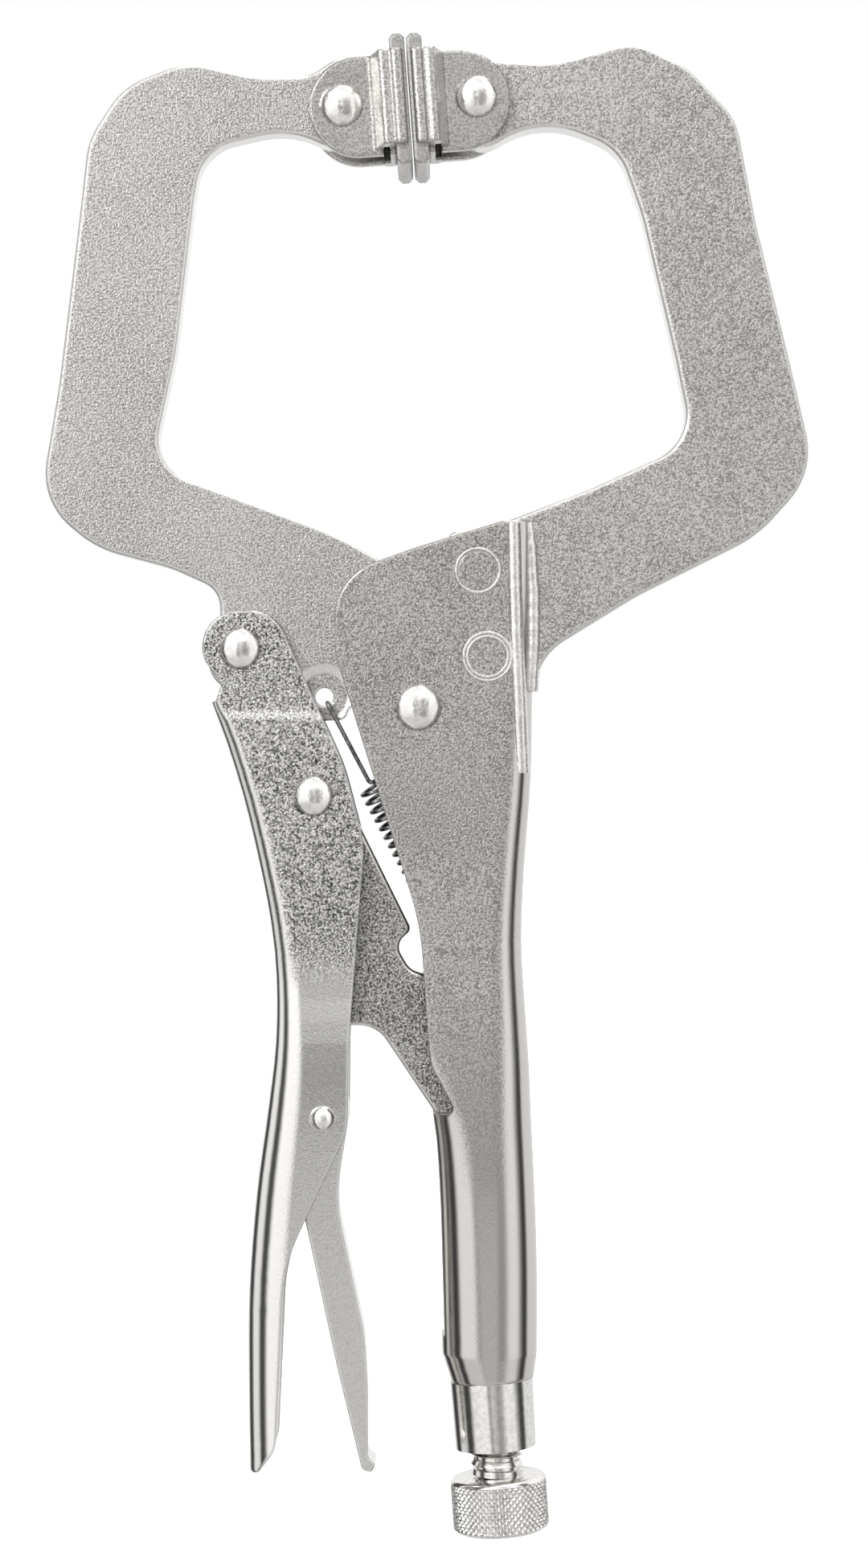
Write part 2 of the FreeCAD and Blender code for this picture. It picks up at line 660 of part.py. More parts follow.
# ---------------------------------------------------------------------------------------------------
# Swivel pads: a hardened plate held in a pressed bracket, drawn about its rivet, the face at -X
# ---------------------------------------------------------------------------------------------------
def swivel_pad(side, turn):
    """The plate and the bracket of one pad, placed on its jaw."""
    face = -size("pad_reach")
    back = face + size("pad_thickness")
    middle = size("clip_rise")
    plate_block = doc.addObject("Part::Box", side + "_pad_block")
    bind(plate_block, Length="pad_thickness", Width="pad_depth", Height="pad_height",
         Placement__Base__x="-1 * pad_reach", Placement__Base__y="-1 * pad_depth / 2",
         Placement__Base__z="-1 * pad_height / 2 - pad_drop")
    doc.recompute()
    plate = doc.addObject("Part::Chamfer", side + "_pad_plate")
    plate.Base = plate_block
    ends = [index for index, edge in enumerate(plate_block.Shape.Edges, start=1)
            if edge.BoundBox.YLength > 1 and edge.BoundBox.XLength < 1e-4]
    plate.Edges = [(index, size("pad_end_chamfer"), size("pad_end_chamfer")) for index in ends]
    ear_x, ear_r = -size("ear_offset"), size("ear_radius")
    web = back + size("clip_sheet")
    ear_top, ear_foot = ear_r - size("ear_drop"), -ear_r - size("ear_drop")
    ears = extrusion(side + "_ears", [
        (ear_x + ear_r, ear_top, ear_r - 0.01),
        (back, ear_top, 0.3),
        (back, ear_foot, 0.3),
        (ear_x + ear_r, ear_foot, ear_r - 0.01),
    ], "ear_gap / 2 + ear_sheet")
    outer = size("ear_gap") / 2 + size("ear_sheet")
    rim = size("pad_depth") / 2 + size("clip_sheet")
    half_clip = [(face + 0.5, rim - 0.7, 0.4), (face + 1.0, rim + 0.3, 0.6), (back - 0.4, rim + 0.3, 0.6),
                 (back + 0.2, rim - 0.6, 0.3), (back + 0.8, rim - 0.1, 0.6), (back + 2.1, rim - 0.1, 0.8),
                 (back + 2.8, rim - 2.4, 0.6), (back + 3.9, outer, 0.6)]
    clip = extrusion(side + "_clip", half_clip + [(x, -y, r) for x, y, r in reversed(half_clip)],
                     "clip_height / 2", upright=False)
    clip.Placement.Base.z = middle
    plate_room = box_between(side + "_plate_room", (face - 1, -size("pad_depth") / 2, -30),
                             (back, size("pad_depth") / 2, 30))
    inner = outer - size("ear_sheet")
    hollow = box_between(side + "_hollow", (web, -rim + 3.4, -30), (back + 2.4, rim - 3.4, 30))
    gap = box_between(side + "_ear_room", (web, -inner, -30), (20, inner, 30))
    sheet_metal = combine("MultiFuse", side + "_bracket_sheet", ears, clip)
    bore = doc.addObject("Part::Cylinder", side + "_pad_bore")
    bore.Height = 40
    bore.Placement = Placement(Vector(0, 20, 0), Rotation(Vector(1, 0, 0), 90))
    bind(bore, Radius="pad_shank_radius")
    bracket = cut_away(side + "_pad_bracket", sheet_metal, plate_room, hollow, gap, bore)
    for item in (plate, bracket):
        item.Placement.Rotation = (Rotation(Vector(0, -1, 0), size("pad_tilt"))
                                   * Rotation(Vector(0, 0, 1), turn))
        bind(item, Placement__Base__x=side + "_pad_pivot_x", Placement__Base__z=side + "_pad_pivot_z")
    return [plate, bracket]


pads = swivel_pad("fixed", 0) + swivel_pad("moving", 180)

# ---------------------------------------------------------------------------------------------------
# Return spring: the coil's envelope as a tube, a leg and hook at the jaw, a crossbar in the handle
# ---------------------------------------------------------------------------------------------------
def wire_between(name, start, end):
    """A length of spring wire between two points of the spring's own frame, +Z along the spring."""
    wire = doc.addObject("Part::Cylinder", name)
    bind(wire, Radius="spring_wire_radius")
    wire.Height = (end - start).Length
    wire.Placement = Placement(start, Rotation(Vector(0, 0, 1), end - start))
    return wire


spring_coil = doc.addObject("Part::Cylinder", "spring_coil")
bind(spring_coil, Radius="spring_coil_radius", Height="spring_coil_length",
     Placement__Base__z="spring_coil_start")
spring_bore = doc.addObject("Part::Cylinder", "spring_bore")
bind(spring_bore, Radius="spring_coil_radius - 2 * spring_wire_radius",
     Height="spring_coil_length - 4 * spring_wire_radius",
     Placement__Base__z="spring_coil_start + 2 * spring_wire_radius")
hook_drop, hook_side = size("spring_hook_drop"), size("spring_hook_side")
coil_end = size("spring_coil_start") + size("spring_coil_length")
hook_near = Vector(0, -hook_side, hook_drop)
hook_far = Vector(0, hook_side, hook_drop)
hook_bend = doc.addObject("Part::Sphere", "spring_hook_bend")
bind(hook_bend, Radius="spring_wire_radius", Placement__Base__y="-1 * spring_hook_side",
     Placement__Base__z="spring_hook_drop")
tail_bend = doc.addObject("Part::Sphere", "spring_tail_bend")
bind(tail_bend, Radius="spring_wire_radius", Placement__Base__y="spring_hook_side",
     Placement__Base__z="spring_hook_drop")
leg_foot = Vector(0, -size("spring_leg_inset"), size("spring_coil_start") + size("spring_wire_radius"))
anchor = size("spring_reach") - size("spring_wire_radius")
return_spring = combine(
    "MultiFuse", "return_spring",
    combine("Cut", "spring_tube", spring_coil, spring_bore),
    wire_between("spring_leg", hook_near, leg_foot),
    hook_bend,
    wire_between("spring_hook", hook_near, hook_far),
    tail_bend,
    wire_between("spring_hook_tip", hook_far, hook_far + Vector(0, 0, size("spring_hook_tail"))),
    wire_between("spring_end", Vector(0, 0, coil_end - size("spring_wire_radius")),
                 Vector(0, 0, anchor)),
    wire_between("spring_crossbar", Vector(0, -size("spring_anchor_half"), anchor),
                 Vector(0, size("spring_anchor_half"), anchor)))
return_spring.Placement.Rotation = Rotation(Vector(0, 1, 0), 180 - size("spring_slant"))
bind(return_spring, Placement__Base__x="spring_hole_x", Placement__Base__z="spring_hole_z")

# ---------------------------------------------------------------------------------------------------
# Adjusting screw: rod, knob, and the threaded sleeve in the end of the tube
# ---------------------------------------------------------------------------------------------------
tip_distance = size("nose_radius") + size("screw_tip_gap")
knob_distance = size("knob_top_distance")
rod = doc.addObject("Part::Cylinder", "screw_rod")
bind(rod, Radius="screw_radius", Height="knob_top_distance - nose_radius - screw_tip_gap")
on_screw(rod, tip_distance)
adjusting_screw = doc.addObject("Part::Chamfer", "adjusting_screw")
adjusting_screw.Base = rod
adjusting_screw.Edges = [(3, 1.0, 1.0)]
doc.recompute()

knob_blank = doc.addObject("Part::Cylinder", "knob_blank")
bind(knob_blank, Radius="knob_radius", Height="knob_length")
on_screw(knob_blank, knob_distance)
knob = doc.addObject("Part::Chamfer", "adjusting_knob")
knob.Base = knob_blank
knob.Edges = [(index, size("knob_chamfer"), size("knob_chamfer")) for index in (1, 3)]

sleeve_body = doc.addObject("Part::Cone", "sleeve_body")
bind(sleeve_body, Radius1="sleeve_top_radius", Radius2="sleeve_end_radius", Height="sleeve_length")
on_screw(sleeve_body, size("sleeve_top_distance"))
spigot = doc.addObject("Part::Cylinder", "sleeve_spigot")
bind(spigot, Radius="spigot_radius", Height="spigot_length + 1")
on_screw(spigot, size("sleeve_top_distance") - size("spigot_length"))
sleeve_bore = doc.addObject("Part::Cylinder", "sleeve_bore")
sleeve_bore.Height = 60
bind(sleeve_bore, Radius="screw_radius + running_clearance")
on_screw(sleeve_bore, size("sleeve_top_distance") - 20)
screw_sleeve = combine("Cut", "screw_sleeve",
                       combine("MultiFuse", "sleeve_blank", sleeve_body, spigot), sleeve_bore)

# ---------------------------------------------------------------------------------------------------
# Check and write
# ---------------------------------------------------------------------------------------------------
SUB_PARTS = [fixed_handle, fixed_jaw, moving_jaw, toggle_link, lever_handle, release_lever, return_spring,
             adjusting_screw, knob, screw_sleeve] + rivets + pads

doc.recompute()
for item in doc.Objects:
    if "Invalid" in item.State or "Error" in item.State:
        raise RuntimeError("%s could not be worked out: %s" % (item.Label, item.State))
os.makedirs("parts", exist_ok=True)
for item in SUB_PARTS:
    if item.Shape.isNull() or not item.Shape.isValid():
        raise RuntimeError(item.Label + " has no valid shape")
    print("%-22s %9.1f mm3, %d solid" % (item.Label, item.Shape.Volume, len(item.Shape.Solids)))
for item in SUB_PARTS:
    item.Shape.exportStep("parts/%s.step" % item.Label)
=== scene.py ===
# %% [markdown]
# # A locking C-clamp
#
# The clamp is all steel with a bright plated skin, so this lesson is about metal: how one recipe gets ten
# different looks from how the steel was forged, pressed, turned or drawn. The shapes that carry load come
# ready made as a frame. Blender adds what is too fine to draw there: the knurl on the knob, the thread,
# the wound spring, the struck rings, the weld, and every finish.

# %% Load the frame
import json
import math

import bmesh
import bpy
from mathutils import Matrix, Vector


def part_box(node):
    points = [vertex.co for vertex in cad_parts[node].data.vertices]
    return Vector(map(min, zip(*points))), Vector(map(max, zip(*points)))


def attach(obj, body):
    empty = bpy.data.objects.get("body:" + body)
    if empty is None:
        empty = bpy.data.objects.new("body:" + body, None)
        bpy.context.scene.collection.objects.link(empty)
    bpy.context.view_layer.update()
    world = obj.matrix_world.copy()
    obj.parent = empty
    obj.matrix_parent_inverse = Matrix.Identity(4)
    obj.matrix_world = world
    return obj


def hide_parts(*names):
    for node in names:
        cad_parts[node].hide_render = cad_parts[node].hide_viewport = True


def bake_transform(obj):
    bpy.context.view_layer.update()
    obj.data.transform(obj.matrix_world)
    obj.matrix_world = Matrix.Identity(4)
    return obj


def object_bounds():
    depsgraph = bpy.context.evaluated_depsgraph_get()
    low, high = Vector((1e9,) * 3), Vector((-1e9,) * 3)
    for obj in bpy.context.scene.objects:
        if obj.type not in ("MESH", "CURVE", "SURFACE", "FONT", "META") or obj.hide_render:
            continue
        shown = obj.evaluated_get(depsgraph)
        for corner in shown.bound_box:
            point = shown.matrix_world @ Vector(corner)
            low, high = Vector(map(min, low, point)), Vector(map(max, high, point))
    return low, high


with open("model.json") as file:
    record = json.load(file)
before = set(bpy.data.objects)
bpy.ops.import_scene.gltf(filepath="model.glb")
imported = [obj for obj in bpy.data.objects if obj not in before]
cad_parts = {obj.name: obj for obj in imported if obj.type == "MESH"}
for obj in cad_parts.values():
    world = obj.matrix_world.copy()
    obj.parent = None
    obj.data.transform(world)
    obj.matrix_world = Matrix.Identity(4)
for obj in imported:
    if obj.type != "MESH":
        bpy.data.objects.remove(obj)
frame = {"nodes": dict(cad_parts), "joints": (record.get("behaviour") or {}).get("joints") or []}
cad_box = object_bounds()
nodes = frame["nodes"]
joints = {joint["name"]: joint for joint in frame["joints"]}

# %% [markdown]
# Every size below is in millimetres and is multiplied by `MM` where Blender needs metres. The screw's axis
# is read from its own joint, so that the thread and the knurl stay on it whatever its tilt.

# %% Units and the screw's axis
MM = 0.001
screw_down = Vector(joints["screw_advance"]["axis"]).normalized()
knob_top = Vector(joints["knob_turn"]["pos_m"])
print("screw leans", round(math.degrees(math.acos(-screw_down.z)), 1), "degrees from upright")


def along_screw(height):
    """The matrix that stands a piece on the screw's axis, its +Z up the screw, this far above the knob."""
    up = -screw_down
    side = Vector((0, 1, 0)).cross(up).normalized()
    across = up.cross(side)
    turn = Matrix((side, across, up)).transposed().to_4x4()
    return Matrix.Translation(knob_top + up * height) @ turn


# %% [markdown]
# ## Two helpers for materials
#
# Colours are easiest to pick as sRGB hex values, but a shader works in linear light, so one function turns
# one into the other. The second function adds a node, sets it and wires it in one line. With it, a whole
# material reads from top to bottom like a recipe. A name in its settings is an input's name or a property's,
# and a number is an input's place in the list.

# %% Colour and node helpers
def linear(hex_colour):
    """An sRGB hex colour such as #B7B4B2 as linear red, green, blue and a full alpha."""
    values = [int(hex_colour[i:i + 2], 16) / 255 for i in (1, 3, 5)]
    return [v / 12.92 if v <= 0.04045 else ((v + 0.055) / 1.055) ** 2.4 for v in values] + [1.0]


def add(tree, kind, settings=None, links=None):
    """Add a node, set its properties and inputs, and link its inputs to other nodes' outputs."""
    node = tree.nodes.new(kind)
    settings = settings or {}
    for key, value in settings.items():
        if isinstance(key, str) and key not in node.inputs:
            setattr(node, key, value)
    for key, value in settings.items():
        if isinstance(key, int) or key in node.inputs:
            node.inputs[key].default_value = value
    for key, source in (links or {}).items():
        tree.links.new(source, node.inputs[key])
    return node


def blank_material(name):
    """A material with no nodes yet, and the tree to fill."""
    material = bpy.data.materials.new(name)
    material.use_nodes = True
    material.node_tree.nodes.clear()
    return material, material.node_tree


print("mid grey #808080 is", round(linear("#808080")[0], 3), "in linear light")

# %% [markdown]
# ## Plated steel
#
# Nickel and satin chrome are thin, so the plated part keeps the skin of the steel under it: pebbled where
# it was forged and blasted, sparkling where it was tumbled, smooth where it was drawn over a mandrel. One
# recipe covers them. A fine noise gives the grain, in height and in tone, because the bottom of each pit
# sees less light. A second, finer noise gives the sparkle: tiny facets in height, and painted glints, bright
# specks, in the colour. A broad noise lets tone and roughness drift over the part, as plating does. The
# grain is a little coarser than real grit, so that it shows.
#
# Where a sheet bends or an edge is rounded, tumbling and polishing rub the grain away. A Bevel node rounds
# the edges in the light only, and where its normal leans from the flat face, the metal turns clean and takes
# a lighter tone: a painted highlight along bends and edges.

# %% Sizes that all the finishes share
EDGE_ROUND = 0.9 * MM
FINE_ROUND = 0.1 * MM
DRIFT_SIZE = 22 * MM
WAVY_BORDER = 9 * MM
GLINT_TINT = "#F6F5F3"
# The colour of the painted glints, bright specks mixed into the metal's colour
SPARK_FINENESS = 1.7
SPARK_HEIGHT = 0.6
# The span of each noise that becomes tone: pits dark to bright, painted glints none to full, drift both ways
PIT_FROM, PIT_TO = 0.34, 0.62
GLINT_FROM, GLINT_TO = 0.58, 0.72
DRIFT_FROM, DRIFT_TO = 0.3, 0.7
DRIFT_IN_TONE = 0.08
DRIFT_SMOOTHEST, DRIFT_ROUGHEST = 0.82, 1.2
CLEAN_ROUGH = 0.14
CLEAN_GRAIN = 0.12
# How squarely a rounded normal faces along Y where the metal is all clean and painted with the highlight
# tone, and where it keeps all its grain
LEAN_CLEAN, LEAN_FLAT = 0.92, 0.985
print("edges look rounded to", EDGE_ROUND / MM, "mm")


# %% Where the grain stays
def grain_and_highlight_mask(tree, place, drift, rounded, smooth_from, smooth_to):
    """How much grain is left at each point, from CLEAN_GRAIN on bends and edges to 1 on the flat faces.
    Where it is low, the colour takes the lighter tone that paints a highlight.
    """
    facing = add(tree, "ShaderNodeSeparateXYZ", {}, {0: rounded.outputs[0]})
    square_on = add(tree, "ShaderNodeMath", {"operation": "ABSOLUTE"}, {0: facing.outputs["Y"]})
    left = add(tree, "ShaderNodeMapRange",
               {"From Min": LEAN_CLEAN, "From Max": LEAN_FLAT, "To Min": CLEAN_GRAIN, "To Max": 1.0},
               {"Value": square_on.outputs[0]})
    if smooth_from is None:
        return left
    height = add(tree, "ShaderNodeSeparateXYZ", {}, {0: place})
    wave = add(tree, "ShaderNodeMath",
               {"operation": "MULTIPLY_ADD", 1: WAVY_BORDER, 2: -WAVY_BORDER / 2},
               {0: drift.outputs["Fac"]})
    level = add(tree, "ShaderNodeMath", {"operation": "ADD"},
                {0: height.outputs["Z"], 1: wave.outputs[0]})
    above = add(tree, "ShaderNodeMapRange",
                {"From Min": smooth_to, "From Max": smooth_from, "To Min": CLEAN_GRAIN, "To Max": 1.0},
                {"Value": level.outputs[0]})
    return add(tree, "ShaderNodeMath", {"operation": "MULTIPLY"}, {0: above.outputs[0], 1: left.outputs[0]})


print("bends and edges keep", CLEAN_GRAIN, "of their grain")


# %% The plated steel recipe
def plated_steel(name, bright, dark, rough, grain, depth, glint_share=0.0, clean_highlight_tone=None,
                 smooth_from=None, smooth_to=None, rounding=EDGE_ROUND):
    """Plated steel: two tones, a roughness, a grain size and depth in mm, and a share of painted glints.

    Given a highlight tone, bends and edges lose their grain and take that tone, which is lighter than the
    grain and paints a highlight along them. With the heights smooth_from and smooth_to, in metres, the part
    also loses its grain and takes that tone from the first down to the second, where the lighter tone is
    partly the smooth metal's own and partly a painted highlight.
    """
    material, tree = blank_material(name)
    place = add(tree, "ShaderNodeTexCoord").outputs["Object"]
    pits = add(tree, "ShaderNodeTexNoise",
               {"Scale": 1 / (grain * MM), "Detail": 2.0, "Roughness": 0.5}, {"Vector": place})
    facets_and_glints = add(tree, "ShaderNodeTexNoise",
                 {"Scale": SPARK_FINENESS / (grain * MM), "Detail": 2.0, "Roughness": 0.7},
                 {"Vector": place})
    drift = add(tree, "ShaderNodeTexNoise", {"Scale": 1 / DRIFT_SIZE, "Detail": 3.0}, {"Vector": place})
    rounded = add(tree, "ShaderNodeBevel", {"samples": 6, "Radius": rounding})
    relief = add(tree, "ShaderNodeMath", {"operation": "MULTIPLY_ADD", 1: SPARK_HEIGHT},
                 {0: facets_and_glints.outputs["Fac"], 2: pits.outputs["Fac"]})
    pit_tone = add(tree, "ShaderNodeMapRange",
                   {"From Min": PIT_FROM, "From Max": PIT_TO, "To Min": 0.0, "To Max": 1.0},
                   {"Value": pits.outputs["Fac"]})
    glint_tone = add(tree, "ShaderNodeMapRange",
                     {"From Min": GLINT_FROM, "From Max": GLINT_TO, "To Min": 0.0, "To Max": glint_share},
                     {"Value": facets_and_glints.outputs["Fac"]})
    drift_tone = add(tree, "ShaderNodeMapRange",
                     {"From Min": DRIFT_FROM, "From Max": DRIFT_TO,
                      "To Min": -DRIFT_IN_TONE, "To Max": DRIFT_IN_TONE},
                     {"Value": drift.outputs["Fac"]})
    tone = add(tree, "ShaderNodeMath", {"operation": "ADD", "use_clamp": True},
               {0: pit_tone.outputs[0], 1: drift_tone.outputs[0]})
    colour = add(tree, "ShaderNodeMix", {"data_type": "RGBA", 6: linear(dark), 7: linear(bright)},
                 {"Factor": tone.outputs[0]})
    # Bright specks laid into the colour: painted glints.
    glint = add(tree, "ShaderNodeMix", {"data_type": "RGBA", 7: linear(GLINT_TINT)},
                {"Factor": glint_tone.outputs[0], 6: colour.outputs[2]})
    gloss = add(tree, "ShaderNodeMapRange",
                {"From Min": DRIFT_FROM, "From Max": DRIFT_TO,
                 "To Min": rough * DRIFT_SMOOTHEST, "To Max": rough * DRIFT_ROUGHEST},
                {"Value": drift.outputs["Fac"]})
    bump = add(tree, "ShaderNodeBump", {"Distance": depth * MM, "Strength": 1.0},
               {"Height": relief.outputs[0], "Normal": rounded.outputs[0]})
    gloss_out, colour_out = gloss.outputs[0], glint.outputs[2]
    # Bends, edges and smooth ends take the lighter tone: a painted highlight.
    if clean_highlight_tone is not None:
        left = grain_and_highlight_mask(tree, place, drift, rounded, smooth_from, smooth_to).outputs[0]
        gloss_out = add(tree, "ShaderNodeMapRange",
                        {"From Min": 0.0, "From Max": 1.0, "To Min": CLEAN_ROUGH},
                        {"Value": left, "To Max": gloss.outputs[0]}).outputs[0]
        colour_out = add(tree, "ShaderNodeMix", {"data_type": "RGBA", 6: linear(clean_highlight_tone)},
                         {"Factor": left, 7: glint.outputs[2]}).outputs[2]
        tree.links.new(left, bump.inputs["Strength"])
    shader = add(tree, "ShaderNodeBsdfPrincipled", {"Metallic": 1.0},
                 {"Base Color": colour_out, "Roughness": gloss_out, "Normal": bump.outputs[0]})
    add(tree, "ShaderNodeOutputMaterial", {}, {"Surface": shader.outputs[0]})
    return material


print("every finish drifts over about", round(DRIFT_SIZE / MM), "mm")

# %% [markdown]
# ## The finishes
#
# The forged jaws and the handle's cheeks are blasted before plating: a fine pebble that scatters light to
# an even satin. The lever, the release lever and the link are tumbled; their colour is dark in the pits,
# painted shade, between bright painted glints, and the lower ends of both handles are drawn smooth. The pad
# brackets are pressed, the pads ground, and the rivets' heads struck by a polished punch. The screw, the
# knob and the sleeve are turned. The weld, the fold and the struck rings are painted an even bright tone, a
# painted highlight along each ridge, and the spring is plain drawn wire, dark with oil.
#
# Each row gives the tone of the high grain, the tone of the pits, the roughness, the grain's size and depth
# in millimetres, and the share of painted glints.

# %% Name the finishes
# The last colour in a row, where there is one, is lighter than the grain and paints a highlight on bends and
# edges.
SATIN_FORGING = plated_steel("satin_nickel_on_blasted_forging", "#CFCDCA", "#878481", 0.34, 0.38, 0.13, 0.4,
                             clean_highlight_tone="#F0EEEB")
SATIN_SHEET = plated_steel("satin_nickel_on_drawn_sheet", "#C7C4C1", "#7B7874", 0.31, 0.38, 0.12, 0.35,
                           clean_highlight_tone="#D0CDCA", smooth_from=-166 * MM, smooth_to=-204 * MM)
TUMBLED_SHEET = plated_steel("bright_nickel_on_tumbled_sheet", "#CFCDCA", "#222120", 0.18, 0.40, 0.18, 1.0,
                             clean_highlight_tone="#EDEBE8", smooth_from=-158 * MM, smooth_to=-164 * MM)
TUMBLED_BLANK = plated_steel("bright_nickel_on_tumbled_blank", "#BAB8B5", "#2C2A28", 0.20, 0.40, 0.17, 1.0,
                             clean_highlight_tone="#EDEBE8")
PRESSED_SHEET = plated_steel("bright_nickel_on_pressed_sheet", "#D6D4D1", "#A5A3A0", 0.22, 0.4, 0.05, 0.5)
PUNCHED_HEAD = plated_steel("polished_nickel_on_struck_rivet", "#F2F0ED", "#DEDCD9", 0.08, 1.8, 0.09)
GROUND_PAD = plated_steel("satin_nickel_on_ground_steel", "#CFCDCA", "#A19F9C", 0.33, 0.4, 0.04, 0.2)
TURNED_STEEL = plated_steel("bright_nickel_on_turned_steel", "#EAE8E5", "#D6D4D1", 0.15, 0.9, 0.006,
                            rounding=FINE_ROUND)
# The weld, the fold and the struck rings are painted lighter than the steel round them: a painted highlight
# along each ridge.
RIDGE_HIGHLIGHT_SKIN = plated_steel("nickel_with_painted_ridge_highlight", "#F6F4F1", "#D5D2CF", 0.34, 0.5, 0.05, 0.6,
                         rounding=FINE_ROUND)
SPRING_WIRE = plated_steel("oil_dark_drawn_spring_wire", "#9E9D9C", "#5A5A5A", 0.24, 0.9, 0.01)

FINISHES = {
    SATIN_FORGING: ("fixed_jaw", "moving_jaw"),
    SATIN_SHEET: ("fixed_handle", "upper_jaw_rivet", "lower_jaw_rivet"),
    TUMBLED_SHEET: ("lever_handle", "release_lever"),
    TUMBLED_BLANK: ("toggle_link",),
    PUNCHED_HEAD: ("main_pivot_rivet", "lever_pivot_rivet", "link_rivet", "release_rivet",
                   "fixed_pad_rivet", "moving_pad_rivet"),
    PRESSED_SHEET: ("fixed_pad_bracket", "moving_pad_bracket"),
    GROUND_PAD: ("fixed_pad_plate", "moving_pad_plate"),
    TURNED_STEEL: ("screw_sleeve", "adjusting_screw", "adjusting_knob"),
    SPRING_WIRE: ("return_spring",),
}
for material, parts in FINISHES.items():
    for name in parts:
        nodes[name].data.materials.clear()
        nodes[name].data.materials.append(material)
    print(material.name, "is on", ", ".join(parts))

# %% [markdown]
# ## Turning the knob
#
# A knob starts as a bar in a lathe. The profile below is its half section, from the middle of the top face
# to the middle of the bottom one, and a short function spins it. The band that takes the knurl is cut into
# many small faces, so that Geometry Nodes can press the diamonds into real geometry.

# %% Spin a half section
def empty_piece(name, data):
    """A piece at the origin with this mesh."""
    piece = bpy.data.objects.new(name, data)
    bpy.context.scene.collection.objects.link(piece)
    return piece


def turned(name, profile, steps):
    """A closed solid of revolution about Z from a list of (radius, height), first and last on the axis."""
    mesh = bmesh.new()
    rings = []
    for radius, height in profile[1:-1]:
        rings.append([mesh.verts.new((radius * math.cos(2 * math.pi * i / steps),
                                      radius * math.sin(2 * math.pi * i / steps), height))
                      for i in range(steps)])
    first = mesh.verts.new((0, 0, profile[0][1]))
    last = mesh.verts.new((0, 0, profile[-1][1]))
    for i in range(steps):
        j = (i + 1) % steps
        mesh.faces.new((first, rings[0][i], rings[0][j]))
        mesh.faces.new((last, rings[-1][j], rings[-1][i]))
        for above, below in zip(rings, rings[1:]):
            mesh.faces.new((above[i], below[i], below[j], above[j]))
    bmesh.ops.recalc_face_normals(mesh, faces=mesh.faces)
    data = bpy.data.meshes.new(name)
    mesh.to_mesh(data)
    mesh.free()
    return empty_piece(name, data)


def wire_path(name, points):
    """A piece that is only a chain of edges through these points, for a tree to sweep along."""
    data = bpy.data.meshes.new(name)
    data.from_pydata([tuple(p) for p in points], [(i, i + 1) for i in range(len(points) - 1)], [])
    return empty_piece(name, data)


print("helpers for turned pieces and for paths are ready")

# %% [markdown]
# The next helpers serve every Geometry Nodes tree here. Each tree has a geometry and a few named sizes as
# its inputs, and ends by making its instances real and giving them a material. When a tree has run, its
# result is kept as a plain mesh and the modifier goes.

# %% Start, end and run a tree
SHARP_ANGLE = math.radians(38)


def new_tree(name, sizes):
    """An empty Geometry Nodes tree with a geometry in and out, and one float input for each size."""
    tree = bpy.data.node_groups.new(name, "GeometryNodeTree")
    tree.interface.new_socket("Geometry", in_out="INPUT", socket_type="NodeSocketGeometry")
    for label, value in sizes.items():
        socket = tree.interface.new_socket(label, in_out="INPUT", socket_type="NodeSocketFloat")
        socket.default_value = value
    tree.interface.new_socket("Material", in_out="INPUT", socket_type="NodeSocketMaterial")
    tree.interface.new_socket("Geometry", in_out="OUTPUT", socket_type="NodeSocketGeometry")
    return tree, add(tree, "NodeGroupInput")


def end_tree(tree, given, geometry):
    """Close a tree with Realize Instances and Set Material."""
    real = add(tree, "GeometryNodeRealizeInstances", {}, {0: geometry})
    skin = add(tree, "GeometryNodeSetMaterial", {},
               {"Geometry": real.outputs[0], "Material": given.outputs["Material"]})
    add(tree, "NodeGroupOutput", {}, {"Geometry": skin.outputs[0]})
    return tree


def apply_nodes(piece, tree, sizes, material):
    """Run a tree on a piece with named sizes and a material, and keep the result as a plain mesh."""
    inputs = {**sizes, "Material": material}
    modifier = piece.modifiers.new(tree.name, "NODES")
    modifier.node_group = tree
    for socket in tree.interface.items_tree:
        if socket.item_type == "SOCKET" and socket.in_out == "INPUT" and socket.name in inputs:
            modifier[socket.identifier] = inputs[socket.name]
    depsgraph = bpy.context.evaluated_depsgraph_get()
    result = bpy.data.meshes.new_from_object(piece.evaluated_get(depsgraph))
    piece.modifiers.clear()
    piece.data = result
    result.shade_smooth()
    result.set_sharp_from_angle(angle=SHARP_ANGLE)
    result.materials.clear()
    result.materials.append(material)
    print(piece.name, "has", len(result.polygons), "faces")
    return piece


print("faces that meet at more than", round(math.degrees(SHARP_ANGLE)), "degrees stay sharp")

# %% [markdown]
# The knurling tool is two small wheels that roll slanting grooves, one leaning left and one right. What is
# left between them is a field of diamonds. In the tree, each family of grooves is a wave of the angle plus
# or minus the height. The deeper of the two waves wins, and the surface moves inward by that much.

# %% A tree that presses diamonds
GROOVE_SHARE = 0.36


